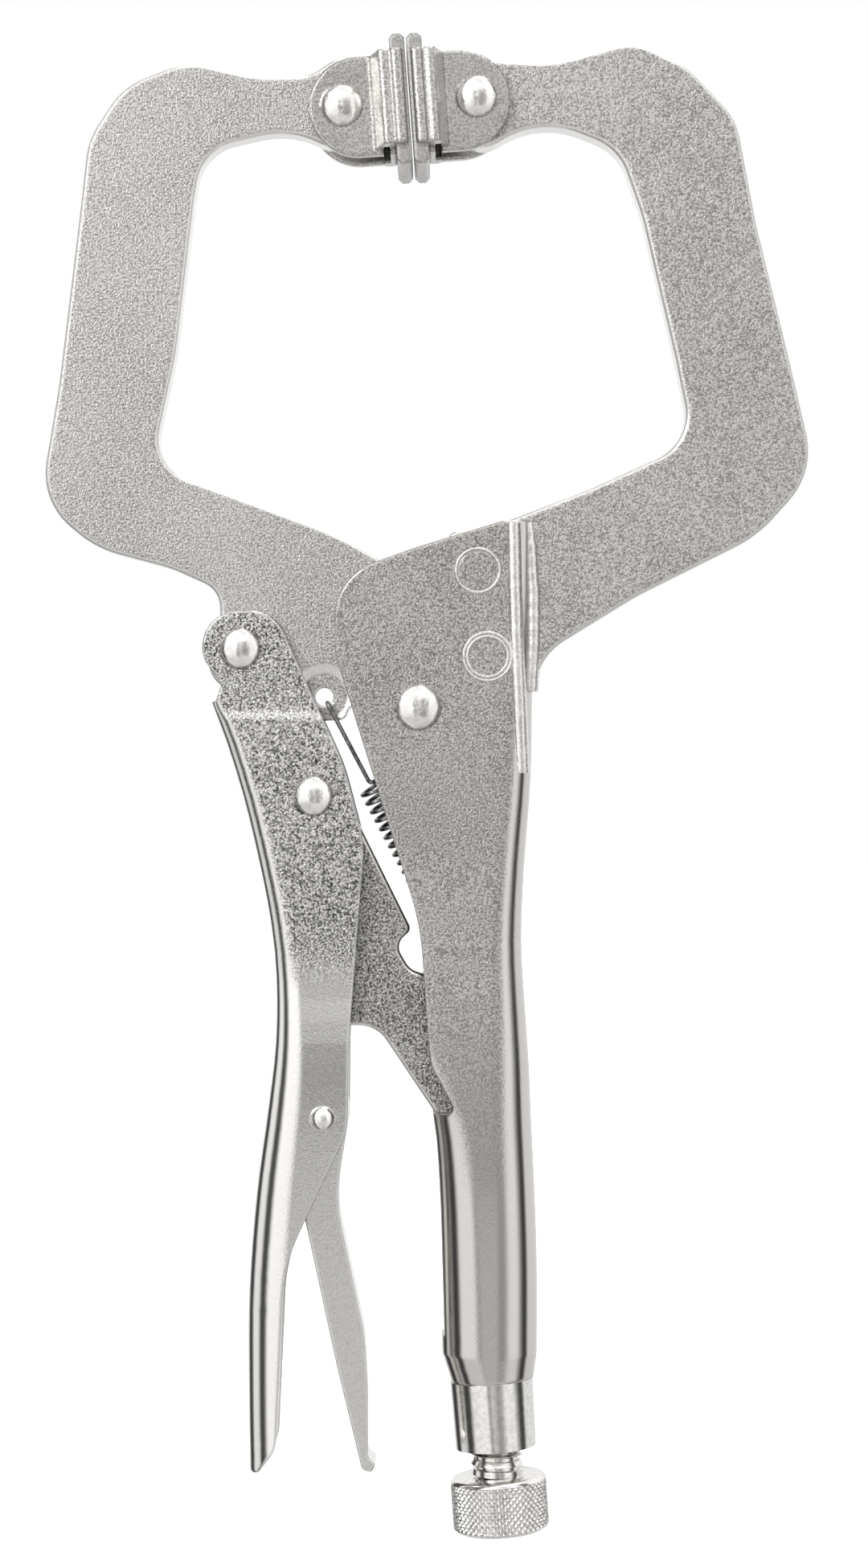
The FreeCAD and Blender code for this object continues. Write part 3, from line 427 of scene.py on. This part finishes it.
def diamond_knurl():
    """Presses a diamond knurl into the side of a piece that stands on the Z axis."""
    tree, given = new_tree("diamond_knurl",
                           {"Count": 40.0, "Pitch": 0.001, "Depth": 0.0003, "Low": 0.0, "High": 0.01})
    place = add(tree, "GeometryNodeInputPosition")
    axes = add(tree, "ShaderNodeSeparateXYZ", {}, {0: place.outputs[0]})
    angle = add(tree, "ShaderNodeMath", {"operation": "ARCTAN2"},
                {0: axes.outputs["Y"], 1: axes.outputs["X"]})
    around = add(tree, "ShaderNodeMath", {"operation": "MULTIPLY", 1: 1 / (2 * math.pi)},
                 {0: angle.outputs[0]})
    turns = add(tree, "ShaderNodeMath", {"operation": "MULTIPLY"},
                {0: around.outputs[0], 1: given.outputs["Count"]})
    rise = add(tree, "ShaderNodeMath", {"operation": "DIVIDE"},
               {0: axes.outputs["Z"], 1: given.outputs["Pitch"]})
    grooves = []
    for lean in ("ADD", "SUBTRACT"):
        phase = add(tree, "ShaderNodeMath", {"operation": lean}, {0: turns.outputs[0], 1: rise.outputs[0]})
        wave = add(tree, "ShaderNodeMath", {"operation": "PINGPONG", 1: 0.5}, {0: phase.outputs[0]})
        grooves.append(wave.outputs[0])
    land = add(tree, "ShaderNodeMath", {"operation": "MINIMUM"}, {0: grooves[0], 1: grooves[1]})
    cut = add(tree, "ShaderNodeMapRange",
              {"From Min": 0.0, "From Max": GROOVE_SHARE, "To Min": 1.0, "To Max": 0.0},
              {"Value": land.outputs[0]})
    above = add(tree, "ShaderNodeMath", {"operation": "GREATER_THAN"},
                {0: axes.outputs["Z"], 1: given.outputs["Low"]})
    below = add(tree, "ShaderNodeMath", {"operation": "LESS_THAN"},
                {0: axes.outputs["Z"], 1: given.outputs["High"]})
    band = add(tree, "ShaderNodeMath", {"operation": "MULTIPLY"}, {0: above.outputs[0], 1: below.outputs[0]})
    deep = add(tree, "ShaderNodeMath", {"operation": "MULTIPLY"},
               {0: cut.outputs[0], 1: given.outputs["Depth"]})
    inward = add(tree, "ShaderNodeMath", {"operation": "MULTIPLY"}, {0: deep.outputs[0], 1: band.outputs[0]})
    flat = add(tree, "ShaderNodeCombineXYZ", {}, {"X": axes.outputs["X"], "Y": axes.outputs["Y"]})
    outward = add(tree, "ShaderNodeVectorMath", {"operation": "NORMALIZE"}, {0: flat.outputs[0]})
    back = add(tree, "ShaderNodeMath", {"operation": "MULTIPLY", 1: -1.0}, {0: inward.outputs[0]})
    push = add(tree, "ShaderNodeVectorMath", {"operation": "SCALE"},
               {0: outward.outputs[0], "Scale": back.outputs[0]})
    moved = add(tree, "GeometryNodeSetPosition", {},
                {"Geometry": given.outputs["Geometry"], "Offset": push.outputs[0]})
    return end_tree(tree, given, moved.outputs[0])


knurl_tree = diamond_knurl()
print("the knurl's tree has", len(knurl_tree.nodes), "nodes")

# %% Make the knob
KNOB_RADIUS = 9.0 * MM
KNOB_LENGTH = 10.2 * MM
KNOB_RIM = 0.8 * MM
KNOB_DISH = 0.6 * MM
KNURL_PITCH = 1.25 * MM
KNURL_DEPTH = 0.42 * MM
KNURL_ROWS = 64
FACES_PER_GROOVE = 9


def knob_profile():
    """Half section of the knob from its top face, at height 0: face, rim, knurl, rim, dished end face."""
    top, bottom = -KNOB_RIM * 1.1, -KNOB_LENGTH + KNOB_RIM
    band = [(KNOB_RADIUS, top + (bottom - top) * i / KNURL_ROWS) for i in range(KNURL_ROWS + 1)]
    top_rim = [(KNOB_RADIUS - KNOB_RIM * 1.6, 0), (KNOB_RADIUS - KNOB_RIM * 0.7, -KNOB_RIM * 0.25),
               (KNOB_RADIUS - KNOB_RIM * 0.3, -KNOB_RIM * 0.7)]
    end_rim = [(KNOB_RADIUS - KNOB_RIM * 0.6, -KNOB_LENGTH + KNOB_RIM * 0.4),
               (KNOB_RADIUS - KNOB_RIM * 1.3, -KNOB_LENGTH)]
    end_face = [(KNOB_RADIUS * 0.4, -KNOB_LENGTH), (KNOB_RADIUS * 0.33, -KNOB_LENGTH + 0.5 * MM),
                (0, -KNOB_LENGTH + KNOB_DISH)]
    return [(0, 0)] + top_rim + band + end_rim + end_face


knurl_count = round(2 * math.pi * KNOB_RADIUS / KNURL_PITCH)
knob = turned("knurled_knob", knob_profile(), FACES_PER_GROOVE * knurl_count)
apply_nodes(knob, knurl_tree, {
    "Count": float(knurl_count), "Pitch": KNURL_PITCH, "Depth": KNURL_DEPTH,
    "Low": -KNOB_LENGTH + KNOB_RIM * 1.02, "High": -KNOB_RIM * 1.15}, TURNED_STEEL)
knob.data.transform(along_screw(0))
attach(knob, "adjusting_knob")
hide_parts("adjusting_knob")
print("the knurl has", knurl_count, "grooves each way")

# %% [markdown]
# ## Cutting the thread
#
# A screw thread is one ridge wound round a rod. The Spiral node draws the path of the ridge, and Curve to
# Mesh sweeps a small triangle along it. The rod under it is turned like the knob.

# %% A tree that winds a ridge
STEPS_PER_TURN = 40


def wound_thread():
    """Adds a thread's ridge, swept along a helix about Z, to the rod that the tree is given."""
    tree, given = new_tree("wound_thread", {"Radius": 0.005, "Length": 0.04, "Turns": 20.0, "Ridge": 0.001})
    helix = add(tree, "GeometryNodeCurveSpiral", {"Resolution": STEPS_PER_TURN},
                {"Rotations": given.outputs["Turns"], "Start Radius": given.outputs["Radius"],
                 "End Radius": given.outputs["Radius"], "Height": given.outputs["Length"]})
    section = add(tree, "GeometryNodeCurvePrimitiveCircle", {"Resolution": 3},
                  {"Radius": given.outputs["Ridge"]})
    ridge = add(tree, "GeometryNodeCurveToMesh", {"Fill Caps": True},
                {"Curve": helix.outputs[0], "Profile Curve": section.outputs[0]})
    both = add(tree, "GeometryNodeJoinGeometry")
    tree.links.new(given.outputs["Geometry"], both.inputs[0])
    tree.links.new(ridge.outputs[0], both.inputs[0])
    return end_tree(tree, given, both.outputs[0])


thread_tree = wound_thread()
print("the thread's tree has", len(thread_tree.nodes), "nodes")

# %% Make the screw
THREAD_PITCH = 1.75 * MM
THREAD_RADIUS = 5.0 * MM
THREAD_DEPTH = 0.95 * MM
TIP_SHORT = 0.4 * MM
TIP_TAPER = 1.5 * MM
UNTHREADED = 3 * MM
SCREW_LIFT = 0.2 * MM
ROD_STEPS = 48
screw_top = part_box("adjusting_screw")[1].z
screw_length = (screw_top - knob_top.z) / abs(screw_down.z) - TIP_SHORT
core = THREAD_RADIUS - THREAD_DEPTH
screw = turned("threaded_screw", [(0, 0), (core, 0), (core, screw_length - TIP_TAPER),
                                  (core - 1 * MM, screw_length), (0, screw_length)], ROD_STEPS)
ridge_radius = THREAD_DEPTH / 1.5
thread_length = screw_length - UNTHREADED
apply_nodes(screw, thread_tree, {
    "Radius": core + ridge_radius * 0.5, "Length": thread_length, "Ridge": ridge_radius,
    "Turns": thread_length / THREAD_PITCH}, TURNED_STEEL)
screw.data.transform(along_screw(SCREW_LIFT))
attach(screw, "adjusting_screw")
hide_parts("adjusting_screw")
print("the thread winds", round(thread_length / THREAD_PITCH, 1), "turns")

# %% [markdown]
# ## Winding the spring
#
# The return spring hooks into the moving jaw's tab at one end and into the fixed handle at the other, so
# one end belongs to each body. Its path is worked out point by point: a hook, a straight leg, the close
# coil, and a leg to the far anchor. A tree then rounds its corners and sweeps a round wire along it.

# %% A tree that sweeps wire
BEND_RADIUS = 0.9 * MM


def swept_wire():
    """Sweeps a round wire along the edges of the path that the tree is given."""
    tree, given = new_tree("swept_wire", {"Wire": 0.0004})
    path = add(tree, "GeometryNodeMeshToCurve", {}, {"Mesh": given.outputs["Geometry"]})
    bent = add(tree, "GeometryNodeFilletCurve",
               {"mode": "POLY", "Count": 5, "Radius": BEND_RADIUS, "Limit Radius": True},
               {"Curve": path.outputs[0]})
    section = add(tree, "GeometryNodeCurvePrimitiveCircle", {"Resolution": 10},
                  {"Radius": given.outputs["Wire"]})
    wire = add(tree, "GeometryNodeCurveToMesh", {"Fill Caps": True},
               {"Curve": bent.outputs[0], "Profile Curve": section.outputs[0]})
    return end_tree(tree, given, wire.outputs[0])


wire_tree = swept_wire()
print("the wire's tree has", len(wire_tree.nodes), "nodes")

# %% The spring's path
SPRING_RADIUS = 2.3 * MM
SPRING_WIRE_RADIUS = 0.4 * MM
SPRING_SLANT = math.radians(27.8)
SPRING_TURNS = 13
COIL_STEPS = 20
COIL_START = 16.9 * MM
COIL_LENGTH = 23.4 * MM
HOOK_SIDE = 3.6 * MM
HOOK_TAIL = 2.4 * MM
LEG_SHORT = 1.6 * MM
LEG_ACROSS = SPRING_RADIUS * 1.12
TAIL_START = 0.9 * MM
TAIL_ACROSS = SPRING_RADIUS * 0.5
ANCHOR_ACROSS = SPRING_RADIUS * 0.4
ANCHOR_SIDE = HOOK_SIDE * 0.98
spring_low, spring_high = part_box("return_spring")
hook_end = Vector((spring_low.x + SPRING_WIRE_RADIUS, 0, spring_high.z - SPRING_WIRE_RADIUS))
spring_line = Vector((math.sin(SPRING_SLANT), 0, -math.cos(SPRING_SLANT)))
spring_side = Vector((0, 1, 0)).cross(spring_line)
spring_reach = (hook_end.z - spring_low.z - SPRING_WIRE_RADIUS) / math.cos(SPRING_SLANT)


def spring_path():
    """Points of the wire from its tip behind the jaw's tab to its crossbar between the handle's cheeks."""
    def at(distance, side, across):
        return hook_end + spring_line * distance + spring_side * side + Vector((0, across, 0))

    hook = [at(HOOK_TAIL, 0, HOOK_SIDE), at(0, 0, HOOK_SIDE), at(0, 0, -HOOK_SIDE)]
    leg = [at(COIL_START - LEG_SHORT, 0, -LEG_ACROSS)]
    coil = []
    last = SPRING_TURNS * COIL_STEPS
    for i in range(last + 1):
        a = 2 * math.pi * i / COIL_STEPS - math.pi / 2
        coil.append(at(COIL_START + COIL_LENGTH * i / last,
                       -SPRING_RADIUS * math.cos(a), SPRING_RADIUS * math.sin(a)))
    tail = [at(COIL_START + COIL_LENGTH + TAIL_START, 0, -TAIL_ACROSS),
            at(spring_reach, 0, -ANCHOR_ACROSS), at(spring_reach, 0, ANCHOR_SIDE)]
    return hook + leg + coil + tail


print("the spring reaches", round(spring_reach / MM, 1), "mm")

# %% Make the spring
spring = wire_path("return_spring_wire", spring_path())
apply_nodes(spring, wire_tree, {"Wire": SPRING_WIRE_RADIUS}, SPRING_WIRE)
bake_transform(spring)
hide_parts("return_spring")

# %% [markdown]
# ## Struck rings
#
# The two rivets that hold the fixed jaw are struck flush, and the punch leaves a fine raised ring round
# the upper one and two round the lower one. A circle swept round a circle makes one ring, and instances
# put one on each cheek.

# %% A tree for the rings
def struck_ring():
    """Two rings about Y, one on each cheek, swept round a small circle."""
    tree, given = new_tree("struck_ring", {"Ring": 0.004, "Line": 0.0002, "Reach": 0.0056})
    loop = add(tree, "GeometryNodeCurvePrimitiveCircle", {"Resolution": 72},
               {"Radius": given.outputs["Ring"]})
    section = add(tree, "GeometryNodeCurvePrimitiveCircle", {"Resolution": 10},
                  {"Radius": given.outputs["Line"]})
    ring = add(tree, "GeometryNodeCurveToMesh", {},
               {"Curve": loop.outputs[0], "Profile Curve": section.outputs[0]})
    upright = add(tree, "GeometryNodeTransform", {"Rotation": (math.pi / 2, 0, 0)},
                  {"Geometry": ring.outputs[0]})
    near = add(tree, "ShaderNodeMath", {"operation": "MULTIPLY", 1: -1.0}, {0: given.outputs["Reach"]})
    start = add(tree, "ShaderNodeCombineXYZ", {}, {"Y": near.outputs[0]})
    end = add(tree, "ShaderNodeCombineXYZ", {}, {"Y": given.outputs["Reach"]})
    ends = add(tree, "GeometryNodeMeshLine", {"mode": "END_POINTS", "Count": 2},
               {"Start Location": start.outputs[0], "Offset": end.outputs[0]})
    pair = add(tree, "GeometryNodeInstanceOnPoints", {},
               {"Points": ends.outputs[0], "Instance": upright.outputs[0]})
    return end_tree(tree, given, pair.outputs[0])


ring_tree = struck_ring()
print("the rings' tree has", len(ring_tree.nodes), "nodes")

# %% Strike the rings
RING_LINE = 0.30 * MM
RING_SUNK = 0.04 * MM
RINGS = [("upper_jaw_rivet_ring", "upper_jaw_rivet", 4.05 * MM),
         ("lower_jaw_rivet_ring", "lower_jaw_rivet", 4.45 * MM),
         ("lower_jaw_rivet_inner_ring", "lower_jaw_rivet", 3.75 * MM)]
for name, rivet, radius in RINGS:
    rivet_low, rivet_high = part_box(rivet)
    ring = empty_piece(name, bpy.data.meshes.new(name))
    # Each ring takes the light ridge skin, a painted highlight.
    apply_nodes(ring, ring_tree, {"Ring": radius, "Line": RING_LINE, "Reach": rivet_high.y - RING_SUNK},
                RIDGE_HIGHLIGHT_SKIN)
    centre = Vector(((rivet_low.x + rivet_high.x) / 2, 0, (rivet_low.z + rivet_high.z) / 2))
    ring.data.transform(Matrix.Translation(centre))
    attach(ring, "fixed_frame")

# %% [markdown]
# ## The weld and the fold
#
# The jaw is welded to the back of each cheek, and the sheet's folded edge stands up as a second, smoother
# ridge beside the weld. Both are beads: tubes half sunk in the steel. A weld bead rises and falls as each
# drop of metal freezes, so the tree moves the tube's skin in and out along its length, with some noise. The
# fold is the same bead with hardly any ripple, and its lower end dives into the sheet.

# %% A tree for a bead
RIPPLE_NOISE = 1.6 * MM


def weld_bead():
    """Sweeps a bead along the given path and swells it in even ripples with a little noise."""
    tree, given = new_tree("weld_bead", {"Bead": 0.0008, "Ripple": 0.0009, "Swell": 0.00012})
    path = add(tree, "GeometryNodeMeshToCurve", {}, {"Mesh": given.outputs["Geometry"]})
    fine = add(tree, "GeometryNodeResampleCurve", {"Count": 220}, {"Curve": path.outputs[0]})
    section = add(tree, "GeometryNodeCurvePrimitiveCircle", {"Resolution": 16},
                  {"Radius": given.outputs["Bead"]})
    bead = add(tree, "GeometryNodeCurveToMesh", {"Fill Caps": True},
               {"Curve": fine.outputs[0], "Profile Curve": section.outputs[0]})
    place = add(tree, "GeometryNodeInputPosition")
    axes = add(tree, "ShaderNodeSeparateXYZ", {}, {0: place.outputs[0]})
    drops = add(tree, "ShaderNodeMath", {"operation": "PINGPONG"},
                {0: axes.outputs["Z"], 1: given.outputs["Ripple"]})
    share = add(tree, "ShaderNodeMath", {"operation": "DIVIDE"},
                {0: drops.outputs[0], 1: given.outputs["Ripple"]})
    rough = add(tree, "ShaderNodeTexNoise", {"Scale": 1 / RIPPLE_NOISE, "Detail": 1.0},
                {"Vector": place.outputs[0]})
    lumps = add(tree, "ShaderNodeMath", {"operation": "ADD"},
                {0: share.outputs[0], 1: rough.outputs["Fac"]})
    swell = add(tree, "ShaderNodeMath", {"operation": "MULTIPLY"},
                {0: lumps.outputs[0], 1: given.outputs["Swell"]})
    outward = add(tree, "GeometryNodeInputNormal")
    push = add(tree, "ShaderNodeVectorMath", {"operation": "SCALE"},
               {0: outward.outputs[0], "Scale": swell.outputs[0]})
    moved = add(tree, "GeometryNodeSetPosition", {},
                {"Geometry": bead.outputs[0], "Offset": push.outputs[0]})
    return end_tree(tree, given, moved.outputs[0])


bead_tree = weld_bead()
print("the bead's tree has", len(bead_tree.nodes), "nodes")

# %% Lay the beads
BEAD_RADIUS = 1.45 * MM
RIPPLE = 1.3 * MM
WELD_SWELL = 0.10 * MM
FOLD_SWELL = 0.03 * MM
# Each point of a route is its X, its Z, and how far the bead stands proud there, in millimetres
WELD_ROUTE = [(21.7, -77.8, 0.2), (22.1, -82.0, 0.6), (22.7, -91.0, 0.7), (22.7, -100.0, 0.6),
              (22.2, -108.6, 0.1)]
FOLD_ROUTE = [(19.0, -77.8, 0.5), (19.2, -88.0, 0.6), (19.5, -99.0, 0.6), (20.0, -110.0, 0.4),
              (20.6, -124.0, -0.2)]
jaw_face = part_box("fixed_jaw")[1].y
cheek_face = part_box("upper_jaw_rivet")[1].y
BEADS = [("front_weld", -1, jaw_face, WELD_ROUTE, WELD_SWELL),
         ("rear_weld", 1, jaw_face, WELD_ROUTE, WELD_SWELL),
         ("front_fold", -1, cheek_face, FOLD_ROUTE, FOLD_SWELL),
         ("rear_fold", 1, cheek_face, FOLD_ROUTE, FOLD_SWELL)]
for name, side, face, route, swell in BEADS:
    bead = wire_path(name, [(x * MM, side * (face + proud * MM - BEAD_RADIUS), z * MM)
                            for x, z, proud in route])
    # Each bead takes the light ridge skin, a painted highlight.
    apply_nodes(bead, bead_tree, {"Bead": BEAD_RADIUS, "Swell": swell, "Ripple": RIPPLE}, RIDGE_HIGHLIGHT_SKIN)
    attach(bead, "fixed_frame")

# %% [markdown]
# ## The studio
#
# Metal shows the room more than itself, so most of this studio is the room. A pale floor keeps the picture
# plain. The world is a ring of soft bright walls with darker gaps between them: the gaps draw the dark lines
# that make a tube or a dome read as round, and the walls draw the bright ones. Only reflections see the
# ring. The camera sees plain white. Two soft boxes add a little light from the left and from above.

# %% The floor
FLOOR_WIDTH = 12
# The floor lies below the knob's lowest place, so that it never hides the knob when the screw is run out
FLOOR_DROP = 24 * MM
FLOOR_GLOW = 0.62
low, high = Vector(cad_box[0]), Vector(cad_box[1])
middle = (low + high) / 2
floor_material, floor_tree = blank_material("pale_painted_floor")
floor_cloud = add(floor_tree, "ShaderNodeTexNoise", {"Scale": 3.0})
floor_tone = add(floor_tree, "ShaderNodeMix",
                 {"data_type": "RGBA", 6: linear("#F2F2F1"), 7: linear("#F8F8F7")},
                 {"Factor": floor_cloud.outputs["Fac"]})
floor_paint = add(floor_tree, "ShaderNodeBsdfPrincipled",
                  {"Roughness": 0.9, "Emission Strength": FLOOR_GLOW, "Emission Color": linear("#FFFFFF")},
                  {"Base Color": floor_tone.outputs[2]})
add(floor_tree, "ShaderNodeOutputMaterial", {}, {"Surface": floor_paint.outputs[0]})
half = FLOOR_WIDTH / 2
floor_data = bpy.data.meshes.new("floor")
floor_data.from_pydata([(-half, -half, 0), (half, -half, 0), (half, half, 0), (-half, half, 0)], [],
                       [(0, 1, 2, 3)])
floor_data.materials.append(floor_material)
floor = empty_piece("floor", floor_data)
floor.location = (middle.x, 0, low.z - FLOOR_DROP)
floor.visible_glossy = False
print("the floor is", round(FLOOR_DROP / MM), "mm below the knob")

# %% [markdown]
# The ring's brightness is a list of bearings round the clamp, in degrees from the front, positive to the
# right, each with a level. A dark spot straight ahead stands for the dark behind a real camera, and a bright
# patch above and below it keeps the rivets' heads from showing a dark stripe.

# %% The room
ROOM = [(-180, 0.92), (-152, 0.96), (-142, 0.06), (-122, 0.06), (-114, 0.95), (-92, 0.95), (-84, 0.06),
        (-68, 0.07), (-58, 1.15), (-16, 1.22), (-10, 0.42), (-6, 0.52), (-1, 0.82), (5, 0.70), (14, 0.42),
        (24, 0.50), (36, 1.12), (60, 1.12), (72, 0.40), (80, 0.06), (92, 0.07), (100, 0.98), (180, 0.92)]
ROOM_BRIGHTEST = 1.25
# How bright the ring is low down and high up, and how far from level that is reached
ROOM_LOW, ROOM_HIGH, ROOM_TILT = 0.72, 1.3, 0.7
# The dark spot grows from its rim to its middle, and has this share of the ring's light
SPOT_RIM, SPOT_MIDDLE, SPOT_LIGHT = 0.9955, 0.9975, 0.2
# The bright patch starts this far above and below level, and this far round to the front
PATCH_COLOUR = [0.8, 0.8, 0.8, 1]
PATCH_RISE = (0.36, 0.52)
PATCH_FRONT = (0.3, 0.6)
world = bpy.data.worlds.new("studio_room")
bpy.context.scene.world = world
world.use_nodes = True
room = world.node_tree
room.nodes.clear()
direction = add(room, "ShaderNodeTexCoord")
axes = add(room, "ShaderNodeSeparateXYZ", {}, {0: direction.outputs["Generated"]})
back = add(room, "ShaderNodeMath", {"operation": "MULTIPLY", 1: -1.0}, {0: axes.outputs["Y"]})
bearing = add(room, "ShaderNodeMath", {"operation": "ARCTAN2"}, {0: axes.outputs["X"], 1: back.outputs[0]})
share = add(room, "ShaderNodeMapRange", {"From Min": -math.pi, "From Max": math.pi},
            {"Value": bearing.outputs[0]})
walls = add(room, "ShaderNodeValToRGB", {}, {"Fac": share.outputs[0]})
ramp = walls.color_ramp
ramp.elements.remove(ramp.elements[1])
for index, (degrees, level) in enumerate(ROOM):
    position = (degrees + 180) / 360
    stop = ramp.elements.new(position) if index else ramp.elements[0]
    stop.position = position
    stop.color = [level / ROOM_BRIGHTEST] * 3 + [1]
rise = add(room, "ShaderNodeMapRange",
           {"From Min": -ROOM_TILT, "From Max": ROOM_TILT,
            "To Min": ROOM_BRIGHTEST * ROOM_LOW, "To Max": ROOM_BRIGHTEST * ROOM_HIGH},
           {"Value": axes.outputs["Z"]})
viewer = add(room, "ShaderNodeMapRange",
             {"From Min": SPOT_RIM, "From Max": SPOT_MIDDLE, "To Min": 1.0, "To Max": SPOT_LIGHT},
             {"Value": back.outputs[0]})
strength = add(room, "ShaderNodeMath", {"operation": "MULTIPLY"}, {0: rise.outputs[0], 1: viewer.outputs[0]})
steep = add(room, "ShaderNodeMath", {"operation": "ABSOLUTE"}, {0: axes.outputs["Z"]})
over = add(room, "ShaderNodeMapRange",
           {"From Min": PATCH_RISE[0], "From Max": PATCH_RISE[1], "To Min": 0.0, "To Max": 1.0},
           {"Value": steep.outputs[0]})
front = add(room, "ShaderNodeMapRange",
            {"From Min": PATCH_FRONT[0], "From Max": PATCH_FRONT[1], "To Min": 0.0, "To Max": 1.0},
            {"Value": back.outputs[0]})
patch = add(room, "ShaderNodeMath", {"operation": "MULTIPLY"}, {0: over.outputs[0], 1: front.outputs[0]})
around = add(room, "ShaderNodeMix", {"data_type": "RGBA", 7: PATCH_COLOUR},
             {"Factor": patch.outputs[0], 6: walls.outputs[0]})
lit = add(room, "ShaderNodeBackground", {}, {"Color": around.outputs[2], "Strength": strength.outputs[0]})
seen = add(room, "ShaderNodeBackground", {"Color": linear("#FFFFFF"), "Strength": 1.0})
ray = add(room, "ShaderNodeLightPath")
both = add(room, "ShaderNodeMixShader", {},
           {0: ray.outputs["Is Camera Ray"], 1: lit.outputs[0], 2: seen.outputs[0]})
add(room, "ShaderNodeOutputWorld", {}, {"Surface": both.outputs[0]})
print("the room's ring has", len(ROOM), "levels")


# %% Two soft boxes
def soft_box(name, place, width, height, power):
    """A rectangular area light that faces the clamp's middle."""
    data = bpy.data.lights.new(name, "AREA")
    data.shape = "RECTANGLE"
    data.size, data.size_y = width, height
    data.energy = power
    light = bpy.data.objects.new(name, data)
    light.location = place
    light.rotation_euler = (middle - place).to_track_quat("-Z", "Y").to_euler()
    light.visible_camera = False
    bpy.context.scene.collection.objects.link(light)
    print(name, "gives", power, "watts")


soft_box("left_soft_box", middle + Vector((-0.55, -0.65, 0.45)), width=0.30, height=0.5, power=2.2)
soft_box("top_soft_box", middle + Vector((0.1, 0.1, 0.95)), width=0.6, height=0.4, power=3)

# %% [markdown]
# ## The camera
#
# The tool is seen square on, from 0.6 m, with a short telephoto view, so the undersides of the top
# arms and the inner walls of the throat just show.

# %% Camera
CAMERA_DISTANCE = 0.60
CAMERA_X, CAMERA_Z = 0.0043, -0.1261
VIEW_HEIGHT = 0.2927
camera_data = bpy.data.cameras.new("camera")
camera_data.sensor_fit = "VERTICAL"
camera_data.sensor_height = 24
camera_data.lens = camera_data.sensor_height * CAMERA_DISTANCE / VIEW_HEIGHT
camera = bpy.data.objects.new("camera", camera_data)
camera.location = (CAMERA_X, -CAMERA_DISTANCE, CAMERA_Z)
camera.rotation_euler = (math.radians(90), 0, 0)
bpy.context.scene.collection.objects.link(camera)
bpy.context.scene.camera = camera
bpy.context.scene.view_settings.view_transform = "Standard"
print("lens", round(camera_data.lens, 1), "mm")
